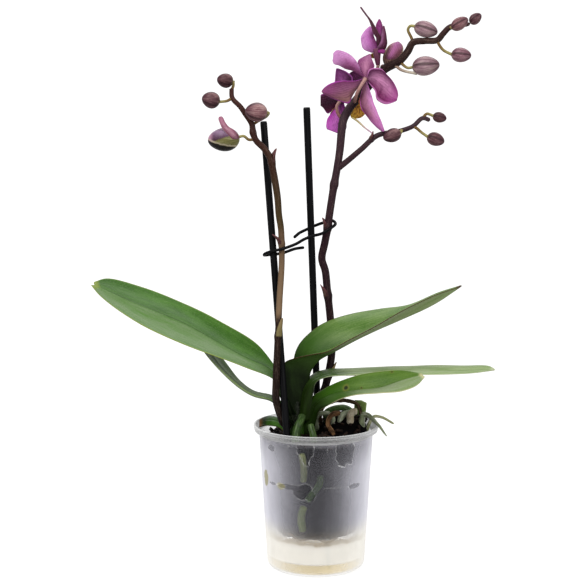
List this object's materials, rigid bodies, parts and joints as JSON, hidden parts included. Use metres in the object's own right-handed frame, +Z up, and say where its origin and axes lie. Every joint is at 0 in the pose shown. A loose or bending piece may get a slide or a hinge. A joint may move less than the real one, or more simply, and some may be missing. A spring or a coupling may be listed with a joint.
{
  "type": "potted orchid",
  "caption": "Potted moth orchid with arching flower spikes tied to stakes, strap leaves and aerial roots in a clear tapered pot.",
  "frame": {"origin": "centre of the flat underside of the pot", "axes": "+Z up along the pot's axis, +X to the right and +Y away from the viewer of the picture"},
  "size_m": [0.2938, 0.0962, 0.3996],
  "materials": {
    "pot_plastic": "thin clear plastic, clouded by moisture and fine scratches",
    "water": "shallow pale yellow water in the pot",
    "bark": "wet dark bark, moss and packed roots",
    "leaf": "thick smooth leaf with a soft sheen",
    "leaf_cut": "pale green cut leaf base",
    "root_silver": "dry silvery green aerial root",
    "root_green": "moist green root",
    "root_brown": "wet brown root",
    "root_pale": "pale dry root",
    "sheath_dry": "dry brown sheath, papery",
    "spike": "dark purple brown flower stem, olive and tan lower down",
    "stake_plastic": "near black support stake",
    "tie_wire": "soft black coated wire",
    "bud": "mauve brown bud with darker seams",
    "petal": "soft magenta and lilac petal, veined",
    "flower_lip": "yellow lip with red brown spots"
  },
  "bodies": {
    "root": {"pot": "pot_plastic", "crown": "leaf", "leaf_left_upper": "leaf", "leaf_left_lower": "leaf", "leaf_right_upper": "leaf", "leaf_right_back": "leaf", "leaf_right_front": "leaf", "leaf_stub_cut": "leaf_cut", "leaf_strip_old": "leaf", "root_over_rim": "root_silver", "root_thin_pale": "root_pale", "root_grey_arch": "root_silver", "root_silver_short": "root_silver", "root_silver_loop": "root_silver", "root_front_green": "root_green", "root_stub_front": "root_green", "stump_pale": "root_pale", "sheath_dry_arch": "sheath_dry", "sheath_dry_curl": "sheath_dry", "roots_bottom": "root_brown", "root_in_water": "root_green", "root_wall_upper": "root_green", "root_wall_middle": "root_green", "root_wall_lower": "root_green", "substrate": "bark", "water": "water", "stake_left": "stake_plastic", "stake_right": "stake_plastic", "tie": "tie_wire", "spike_left": "spike", "spike_right": "spike", "bud_left_tip": "bud", "bud_left_second": "bud", "bud_left_third": "bud", "bud_right_first": "bud", "bud_right_second": "bud", "bud_right_third": "bud", "bud_right_fourth": "bud", "bud_right_tip": "bud", "bud_side_first": "bud", "bud_side_tip": "bud", "bud_side_lower": "bud", "bud_opening": "bud", "bloom_behind": "petal", "bloom_side": "petal", "bloom_top": "petal", "bloom_half_open": "petal", "bloom_behind_lip": "flower_lip", "bloom_side_lip": "flower_lip", "bloom_top_lip": "flower_lip"}
  },
  "joints": []
}
